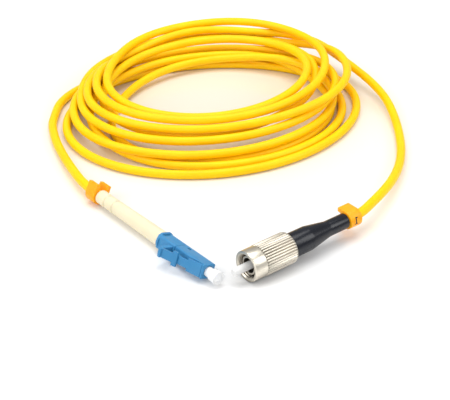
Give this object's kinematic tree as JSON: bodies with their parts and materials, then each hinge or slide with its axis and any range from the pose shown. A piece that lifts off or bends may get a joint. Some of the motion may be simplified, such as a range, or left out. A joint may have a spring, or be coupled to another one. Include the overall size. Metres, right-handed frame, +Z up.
{
  "type": "fiber optic patch cord",
  "caption": "Yellow single-fibre optical patch cord in a hand coil, with a latching blue plug and a nickel screw plug, strain-relief boots and orange marker clips.",
  "frame": {"origin": "on the floor under the middle of the box round the two plugs", "axes": "+Z up; the plugs' mating ends face -Y and the coil lies towards +Y; +X runs from the LC plug's cable to the FC plug's cable"},
  "size_m": [0.1259, 0.1717, 0.0133],
  "materials": {
    "cable_jacket": "satin",
    "aramid": "matte",
    "buffer": "satin",
    "fibre": "polished",
    "nickel": "nickel plated",
    "zirconia": "polished",
    "steel": "satin",
    "aluminium": "satin",
    "black_boot": "satin",
    "ivory_boot": "satin",
    "blue_body": "gloss",
    "white_cap": "gloss",
    "orange_clip": "gloss"
  },
  "bodies": {
    "cable": {"cable_coil": "cable_jacket", "lc_lead": "cable_jacket", "fc_lead": "cable_jacket", "fc_frame": "nickel", "fc_key_ring": "nickel", "fc_spring": "steel", "fc_rear_body": "nickel", "fc_crimp_sleeve": "aluminium", "fc_boot": "black_boot", "fc_cable_jacket": "cable_jacket", "fc_aramid_yarn": "aramid", "lc_housing": "blue_body", "lc_trigger_sleeve": "blue_body", "lc_spring": "steel", "lc_rear_body": "steel", "lc_crimp_sleeve": "aluminium", "lc_boot": "ivory_boot", "lc_cable_jacket": "cable_jacket", "lc_aramid_yarn": "aramid"},
    "fc_nut": {"fc_coupling_nut": "nickel"},
    "fc_ferrule_unit": {"fc_ferrule": "zirconia", "fc_ferrule_flange": "steel", "fc_buffer": "buffer", "fc_fibre": "fibre"},
    "lc_ferrule_unit": {"lc_ferrule": "zirconia", "lc_ferrule_flange": "steel", "lc_buffer": "buffer", "lc_fibre": "fibre"},
    "lc_latch": {"lc_latch_lever": "blue_body"},
    "lc_trigger": {"lc_trigger": "blue_body"},
    "lc_cap": {"lc_dust_cap": "white_cap"},
    "fc_clip": {"fc_marker_clip": "orange_clip"},
    "lc_clip": {"lc_marker_clip": "orange_clip"}
  },
  "joints": [
    {"name": "fc_nut_turn", "type": "hinge", "parent": "cable", "child": "fc_nut", "pos_m": [0.01366, -0.01699, 0.00508], "axis": [-0.7872, -0.6164, -0.0209], "continuous": true},
    {"name": "fc_ferrule_push", "type": "slide", "parent": "cable", "child": "fc_ferrule_unit", "axis": [0.7872, 0.6164, 0.0209], "range_m": [0, 0.0015], "stiffness_N_per_m": 1000, "deforming": ["fc_spring"]},
    {"name": "lc_ferrule_push", "type": "slide", "parent": "cable", "child": "lc_ferrule_unit", "axis": [-0.6347, 0.7727, 0.0017], "range_m": [0, 0.0015], "stiffness_N_per_m": 800, "deforming": ["lc_spring"]},
    {"name": "lc_trigger_press", "type": "hinge", "parent": "cable", "child": "lc_trigger", "pos_m": [-0.01795, -0.01435, 0.00513], "axis": [-0.2398, -0.1949, -0.9511], "range_deg": [0, 10], "stiffness_Nm_per_rad": 0.00002},
    {"name": "lc_latch_press", "type": "hinge", "parent": "cable", "child": "lc_latch", "pos_m": [-0.00596, -0.02236, 0.00375], "axis": [0.2398, 0.1949, 0.9511], "range_deg": [0, 7.3]},
    {"name": "lc_cap_pull", "type": "slide", "parent": "cable", "child": "lc_cap", "axis": [0.6347, -0.7727, -0.0017], "range_m": [0, 0.012]},
    {"name": "fc_clip_turn", "type": "hinge", "parent": "cable", "child": "fc_clip", "pos_m": [0.03975, 0.00344, 0.00577], "axis": [-0.7872, -0.6164, -0.0209], "continuous": true},
    {"name": "lc_clip_turn", "type": "hinge", "parent": "cable", "child": "lc_clip", "pos_m": [-0.03994, 0.02253, 0.00312], "axis": [0.6347, -0.7727, -0.0017], "continuous": true}
  ],
  "couplings": [
    {"joint": "lc_latch_press", "follows": "lc_trigger_press", "ratio": 0.73}
  ]
}
